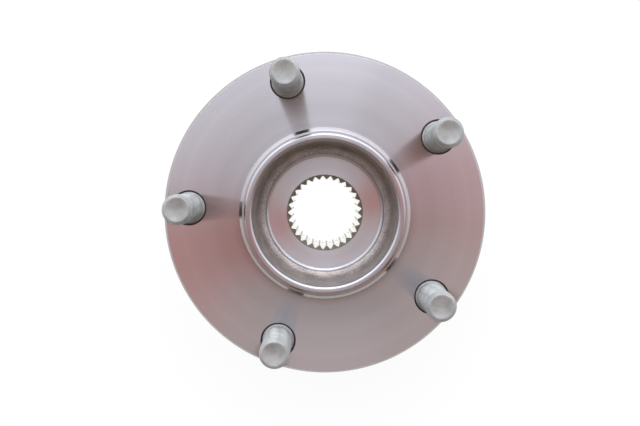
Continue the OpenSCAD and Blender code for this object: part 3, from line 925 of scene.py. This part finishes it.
def thread_recipe():
    """Rolls a right-hand thread into a round blank about Z."""
    tree, given = new_recipe("rolled thread", Float=("Start", "End", "Pitch", "Depth", "Run-out"))
    place = add_node(tree, "GeometryNodeInputPosition")
    x, y, z = add_node(tree, "SeparateXYZ", (place,)).outputs
    angle = add_node(tree, "Math", (y, x), operation="ARCTAN2")
    turn = add_node(tree, "Math", (angle, 2 * math.pi), operation="DIVIDE")
    climb = add_node(tree, "Math", (z, given["Pitch"]), operation="DIVIDE")
    behind = add_node(tree, "Math", (climb, turn), operation="SUBTRACT")
    phase = add_node(tree, "Math", (behind,), operation="FRACT")
    from_middle = add_node(tree, "Math", (phase, 0.5), operation="SUBTRACT")
    from_crest = add_node(tree, "Math", (from_middle,), operation="ABSOLUTE")
    inward = add_node(tree, "MapRange", (from_crest, crest_half, root_start, 0, -1))
    above = add_node(tree, "Math", (z, given["Start"]), operation="SUBTRACT")
    below = add_node(tree, "Math", (given["End"], z), operation="SUBTRACT")
    inside = [add_node(tree, "Math", (gap, given["Run-out"]), operation="DIVIDE") for gap in (above, below)]
    nearer = add_node(tree, "Math", inside, operation="MINIMUM")
    fade = add_node(tree, "Clamp", (nearer,))
    faded = add_node(tree, "Math", (inward, fade), operation="MULTIPLY")
    press = add_node(tree, "Math", (faded, given["Depth"]), operation="MULTIPLY")
    flat = add_node(tree, "CombineXYZ", (x, y))
    outward = add_node(tree, "VectorMath", (flat,), operation="NORMALIZE")
    offset = add_node(tree, "VectorMath", (outward, press), operation="SCALE")
    moved = add_node(tree, "GeometryNodeSetPosition", {"Geometry": given["Geometry"], "Offset": offset})
    return end_recipe(tree, moved, given["Material"])


def thread_rows(r, start, end, pitch):
    """Corners of a profile close enough together to take a thread."""
    count = math.ceil((end - start) / pitch * thread_steps)
    return [(r, start + (end - start) * i / count, 0) for i in range(count + 1)]


rolled_thread = thread_recipe()
print(len(rolled_thread.nodes), "nodes roll a thread")


# %% Recipes that repeat round a circle
def repeat_round(tree, count, radius, instance):
    """Copies of an instance at even steps round Z, each turned with its place."""
    circle = add_node(tree, "GeometryNodeMeshCircle", {"Vertices": count, "Radius": radius})
    index = add_node(tree, "GeometryNodeInputIndex")
    step = add_node(tree, "Math", (2 * math.pi, count), operation="DIVIDE")
    angle = add_node(tree, "Math", (index, step), operation="MULTIPLY")
    turn = add_node(tree, "CombineXYZ", {"Z": angle})
    rotation = add_node(tree, "FunctionNodeEulerToRotation", (turn,))
    return add_node(tree, "GeometryNodeInstanceOnPoints", {
        "Points": circle, "Instance": instance, "Rotation": rotation})


def knurl_recipe():
    """Adds pressed-up ribs along a shank. A square bar on its edge gives each rib its V shape."""
    tree, given = new_recipe("knurl ribs", Int=["Ribs"], Float=("Radius", "Rib width", "Length", "Middle"))
    size = add_node(tree, "CombineXYZ", (given["Rib width"], given["Rib width"], given["Length"]))
    bar = add_node(tree, "GeometryNodeMeshCube", {"Size": size})
    rib = add_node(tree, "GeometryNodeTransform", {"Geometry": bar, "Rotation": (0, 0, math.pi / 4)})
    ribs = repeat_round(tree, given["Ribs"], given["Radius"], rib)
    lift = add_node(tree, "CombineXYZ", {"Z": given["Middle"]})
    lifted = add_node(tree, "GeometryNodeTransform", {"Geometry": ribs, "Translation": lift})
    both = add_node(tree, "GeometryNodeJoinGeometry", (given["Geometry"],))
    tree.links.new(lifted.outputs[0], both.inputs[0])
    return end_recipe(tree, both, given["Material"])


def circle_recipe():
    """Copies of an object, evenly spaced on a circle about Z and turned with it."""
    tree, given = new_recipe("copies on a circle", Int=["Count"], Float=("Radius", "First"), Object=["Part"])
    part = add_node(tree, "GeometryNodeObjectInfo", {"Object": given["Part"]}).outputs["Geometry"]
    copies = repeat_round(tree, given["Count"], given["Radius"], part)
    first = add_node(tree, "CombineXYZ", {"Z": given["First"]})
    turned = add_node(tree, "GeometryNodeTransform", {"Geometry": copies, "Rotation": first})
    return end_recipe(tree, turned, given["Material"])


# %% Sizes of a stud
stud_low, stud_high = node_box("wheel_stud_1")
stud_tip_z, head_z = stud_high.z, stud_low.z
head_r = (stud_high.x - stud_low.x) / 2
head_chamfer = 0.8
thread_pitch = 1.5
thread_depth = 0.61 * thread_pitch
thread_run_out = 1.2
neck_r = thread_r - 0.4
neck_z = 1.5
thread_z = neck_z + 0.4
knurl_top_z = -0.15
knurl_body_r = knurl_r - 0.25
knurl_ribs = 36
knurl_rib_w = 0.36
knurl_low_z, knurl_high_z = 0.3 - flange_t, -1.7
tip_chamfer = 1.2
tip_rim = 0.4
tip_dish = 0.6
print(f"stud {stud_tip_z - head_z:.1f} mm long, thread M{2 * thread_r:.0f} x {thread_pitch}")


# %% Turn one stud
def stud_blank():
    """A stud before its thread is rolled and its knurl pressed."""
    tip_r = thread_r - tip_chamfer
    dish_r = tip_r - tip_rim
    sphere_r = (dish_r ** 2 + tip_dish ** 2) / (2 * tip_dish)
    dish_turn = math.degrees(math.asin(dish_r / sphere_r))
    return lathe("stud", [
        (0, head_z, 0),
        (head_r - head_chamfer, head_z, 0.4),
        (head_r, head_z + head_chamfer, 0.4),
        (head_r, -flange_t, 0.2),
        (knurl_body_r, -flange_t, 0.2),
        (knurl_body_r, -hole_mouth_h - 0.2, 0.1),
        (knurl_r, -hole_mouth_h - 0.1, 0.05),
        (knurl_r, knurl_top_z - 0.3, 0.1),
        (thread_r, knurl_top_z, 0.1),
        (neck_r, knurl_top_z, 0.1),
        (neck_r, neck_z, 0.15),
        *thread_rows(thread_r, thread_z, stud_tip_z - tip_chamfer, thread_pitch),
        (tip_r, stud_tip_z, 0.15),
        *arc((0, stud_tip_z - tip_dish + sphere_r), sphere_r, dish_turn - 90, -90, steps=8),
    ], even_angles(64), closed=False)


stud = stud_blank()
run_recipe(stud, rolled_thread, {
    "Start": thread_z * MM, "End": (stud_tip_z - tip_chamfer + 0.4) * MM, "Pitch": thread_pitch * MM,
    "Depth": thread_depth * MM, "Run-out": thread_run_out * MM, "Material": stud_plating_and_root_shade})
run_recipe(stud, knurl_recipe(), {
    "Ribs": knurl_ribs, "Radius": knurl_body_r * MM, "Rib width": knurl_rib_w * MM,
    "Length": (knurl_high_z - knurl_low_z) * MM, "Middle": (knurl_high_z + knurl_low_z) / 2 * MM,
    "Material": stud_plating_and_root_shade})
print(f"one stud: {len(stud.data.polygons)} faces")

# %% Put five studs round the flange
stud_names = [part["node"] for part in frame["record"]["subparts"] if part["material_slot"] == "stud_steel"]
studs = add_object("wheel_studs", bpy.data.meshes.new("wheel_studs"))
run_recipe(studs, circle_recipe(), {
    "Count": stud_count, "Radius": stud_circle_r * MM, "First": stud_angle(0), "Part": stud,
    "Material": stud_plating_and_root_shade})
bpy.data.objects.remove(stud)
dress(studs, "hub", "stud_steel", *stud_names)

# %% [markdown]
# ## The outer ring
# Behind the flange sits the bearing's outer ring, which bolts to the knuckle with four ears. It is
# forged, and machined only where it matters: the knuckle face, the pilot below it and the ends.
# The ears could be joined to a turned body, but the hollow arcs between them would need blending.
# So the rows of the flange follow its whole outline: a round body, an arc round each bolt and a
# hollow arc at each side of an ear. The tapped holes are cut with taps that the thread recipe
# makes.

# %% Sizes of the knuckle flange's outline
body_r = 47.5
ear_r = 10.5
waist_r = 20.0
ear_reach = math.hypot(bolt_x, bolt_y)
ear_turn = math.atan2(bolt_y, bolt_x)
blend_reach = body_r + waist_r
blend_turn = math.acos(
    (ear_reach ** 2 + blend_reach ** 2 - (ear_r + waist_r) ** 2) / (2 * ear_reach * blend_reach))
outline_step = 1.2
print(f"ears reach {ear_reach + ear_r:.1f} mm from the axle")


# %% Draw the outline
def polar(r, angle):
    """A point at a distance and an angle."""
    return Vector((r * math.cos(angle), r * math.sin(angle)))


def outline_arc(centre, radius, start, end, outward=1):
    """Points along an arc, each with the outline's outward direction there."""
    count = max(3, round(abs(end - start) * radius / outline_step))
    turns = [start + (end - start) * i / count for i in range(count + 1)]
    return [(centre + polar(radius, turn), polar(outward, turn)) for turn in turns]


def half_ear():
    """The outline from the tip of an ear that points along +X to the round body."""
    ear = Vector((ear_reach, 0))
    blend = polar(blend_reach, blend_turn)
    to_blend = blend - ear
    contact = math.atan2(to_blend.y, to_blend.x)
    hollow = outline_arc(blend, waist_r, contact - math.pi, blend_turn - math.pi, outward=-1)
    return outline_arc(ear, ear_r, 0, contact) + hollow[1:]


def knuckle_outline():
    """All points of the outline with their outward directions, counter-clockwise."""
    half = half_ear()
    mirror = Matrix(((1, 0), (0, -1)))
    whole_ear = [(mirror @ p, mirror @ d) for p, d in reversed(half[1:])] + half
    centres = [ear_turn, math.pi - ear_turn, math.pi + ear_turn, 2 * math.pi - ear_turn]
    outline = []
    for centre, following in zip(centres, centres[1:] + [centres[0] + 2 * math.pi]):
        turn = Matrix.Rotation(centre, 2)
        outline += [(turn @ p, turn @ d) for p, d in whole_ear]
        outline += outline_arc(Vector((0, 0)), body_r, centre + blend_turn, following - blend_turn)[1:-1]
    return outline


outline = knuckle_outline()
ring_angles = [math.atan2(p.y, p.x) for p, d in outline]
print(len(outline), "points round the knuckle flange")

# %% Sizes of the outer ring's section
ring_low, ring_high = node_box("outer_ring")
ring_top, ring_end = ring_high.z, ring_low.z
ring_neck_r = knuckle_pilot_r - 0.5
knuckle_top_z = knuckle_z + 13
ring_fillet = 2.5
forge_round = 1.0
machined_edge = 0.4
race_high_turn, race_low_turn = 60, 15
outer_low_r = pitch_r + race_r * math.cos(math.radians(race_low_turn))
seal_bore_r = 40.41
seal_depth = 4.5
ring_chamfer = 0.8
pilot_chamfer = 1.6
groove_w, groove_h = 1.2, 0.5
print(f"outer ring {ring_top - ring_end:.1f} mm long")


# %% Rows of the outer ring
def outline_row(inset, z):
    """A row that follows the outline of the knuckle flange, set in from it."""
    return [(*(p - inset * d), z) for p, d in outline]


def rounded_rows(radius, z, steps, side):
    """Rows round an edge of the knuckle flange: the upper one where side is 1, the lower where it is -1."""
    turns = [math.pi / 2 * i / steps for i in range(steps + 1)][::side]
    return [outline_row(radius * (1 - math.sin(t)), z - side * radius * (1 - math.cos(t))) for t in turns]


def outer_ring_rows():
    """All rows of the outer ring: up the bore, down the neck, round the flange, down the pilot."""
    inside_and_neck = rounded([
        (seal_bore_r, ring_end + seal_depth, 0),
        (outer_low_r, ring_end + seal_depth, 0.15),
        *arc((pitch_r, row_in_z), race_r, -race_low_turn, race_high_turn),
        *arc((pitch_r, row_out_z), race_r, -race_high_turn, race_low_turn),
        (outer_low_r, ring_top - seal_depth, 0.15),
        (seal_bore_r, ring_top - seal_depth, 0),
        (seal_bore_r, ring_top, 0.3),
        (ring_neck_r - ring_chamfer, ring_top, edge),
        (ring_neck_r, ring_top - ring_chamfer, edge),
        *arc((ring_neck_r + ring_fillet, knuckle_top_z + ring_fillet), ring_fillet, 180, 270)])
    pilot = rounded([
        (knuckle_pilot_r + groove_w, knuckle_z, 0),
        (knuckle_pilot_r + groove_w, knuckle_z + groove_h, 0.15),
        (knuckle_pilot_r, knuckle_z + groove_h, 0.15),
        (knuckle_pilot_r, ring_end + pilot_chamfer, edge),
        (knuckle_pilot_r - pilot_chamfer, ring_end, edge),
        (seal_bore_r, ring_end, 0.3),
        (seal_bore_r, ring_end + seal_depth - 0.1, 0)])
    return (
        [ring_row(r, z, ring_angles) for r, z in inside_and_neck]
        + rounded_rows(forge_round, knuckle_top_z, 4, 1)
        + rounded_rows(machined_edge, knuckle_z, 3, -1)
        + [ring_row(r, z, ring_angles) for r, z in pilot])


# %% Make the outer ring
bolt_pitch = 1.5
bolt_thread_r = 6.0
bolt_sink_r = 6.3
tap_over = 0.5
tap_run_out = 0.6


def tap(x, y):
    """A tap with the countersinks of both ends, which cuts one finished bolt hole."""
    lead = bolt_sink_r - bolt_thread_r
    wide = bolt_sink_r + tap_over
    low, high = knuckle_z, knuckle_top_z
    tool = lathe("tap", [
        (0, low - tap_over, 0), (wide, low - tap_over, 0),
        *thread_rows(bolt_thread_r, low + lead, high - lead, bolt_pitch),
        (wide, high + tap_over, 0), (0, high + tap_over, 0)], even_angles(48), closed=False)
    run_recipe(tool, rolled_thread, {
        "Start": (low + tap_run_out) * MM, "End": (high - tap_run_out) * MM, "Pitch": bolt_pitch * MM,
        "Depth": (bolt_thread_r - bolt_hole_r) * MM, "Run-out": tap_run_out * MM, "Material": race_steel})
    tool.data.transform(Matrix.Translation((x * MM, y * MM, 0)))
    return tool


def outer_ring_finish(r, z):
    """The finish of the outer ring at a distance from the axle and a height."""
    return "ground" if z < knuckle_z + groove_h + slack or r < ring_neck_r - slack else "forged"


outer_ring = loft("outer_bearing_ring", outer_ring_rows())
cut(outer_ring, join("taps", [tap(x, y) for x in (-bolt_x, bolt_x) for y in (-bolt_y, bolt_y)]))
paint(outer_ring, {"ground": race_steel, "forged": forged_skin}, outer_ring_finish)
dress(outer_ring, "bearing_housing", "outer_ring_steel", "outer_ring")

# %% [markdown]
# ## The inner ring, the slinger and the inboard seal
# From behind, the inboard end of the bearing shows. The inner ring is hardened bearing steel,
# ground all over. The slinger is pressed on it from thin stainless sheet and carries the black
# encoder ring, whose magnetic poles tell the speed sensor how fast the wheel turns. The case of
# the seal is stamped from sheet, so its outer bend is round. A sheet part could be a single
# surface with a Solidify modifier, but each is a plain ring here, and a profile that holds both
# sides of the sheet gives its bends exactly.

# %% Sizes of the rings at the inboard end
fine_round = even_angles(192)
ring_round = 0.7
seal_face_z = ring_end + 0.3
seal_back_z = seal_face_z + 4.2
slinger_t = 0.6
slinger_bend = 0.45
encoder_t = 0.9
encoder_r = node_box("seal_slinger")[1].x
case_t = 0.8
case_bend = 0.5
web_r = seal_bore_r - 6.2
slinger_z = seal_face_z + encoder_t
slinger_r = land_r + slinger_t
print(f"encoder ring {2 * encoder_r:.1f} mm across")


# %% Turn the rings
def turn_ring(name, corners, finish, body, slot, node):
    """Turns a ring of one finish, which rides on a body and stands for its node."""
    ring = lathe(name, corners, fine_round)
    paint(ring, {"all": finish}, lambda r, z: "all")
    dress(ring, body, slot, node)


turn_ring("inner_bearing_ring", [
    (inner_seat_r, inner_end_z, ring_round),
    (land_r, inner_end_z, ring_round),
    *arc((pitch_r, row_in_z), race_r, 180 + race_high_turn, 180 - race_low_turn),
    (inner_low_r, inner_top_z, ring_round),
    (inner_seat_r, inner_top_z, ring_round),
], race_steel, "hub", "inner_ring_steel", "inner_ring")
turn_ring("slinger", [
    (land_r, slinger_z, slinger_bend + slinger_t),
    (encoder_r, slinger_z, 0.1),
    (encoder_r, slinger_z + slinger_t, 0.1),
    (slinger_r, slinger_z + slinger_t, slinger_bend),
    (slinger_r, seal_back_z, 0.1),
    (land_r, seal_back_z, 0.1),
], finishes["slinger_steel"], "hub", "slinger_steel", "seal_slinger")
turn_ring("encoder", [
    (slinger_r, seal_face_z, edge),
    (encoder_r, seal_face_z, edge),
    (encoder_r, slinger_z, 0),
    (slinger_r, slinger_z, 0),
], finishes["encoder_rubber"], "hub", "encoder_rubber", "encoder_ring")
turn_ring("seal_case", [
    (seal_bore_r, seal_face_z, 0.2),
    (seal_bore_r, seal_back_z, case_bend + case_t),
    (web_r, seal_back_z, 0.1),
    (web_r, seal_back_z - case_t, 0.1),
    (seal_bore_r - case_t, seal_back_z - case_t, case_bend),
    (seal_bore_r - case_t, seal_face_z, 0.2),
], finishes["seal_case_steel"], "bearing_housing", "seal_case_steel", "inboard_seal_case")

# %% [markdown]
# ## Finish
# At the end the view layer is brought up to date.

# %% Finish
bpy.context.view_layer.update()
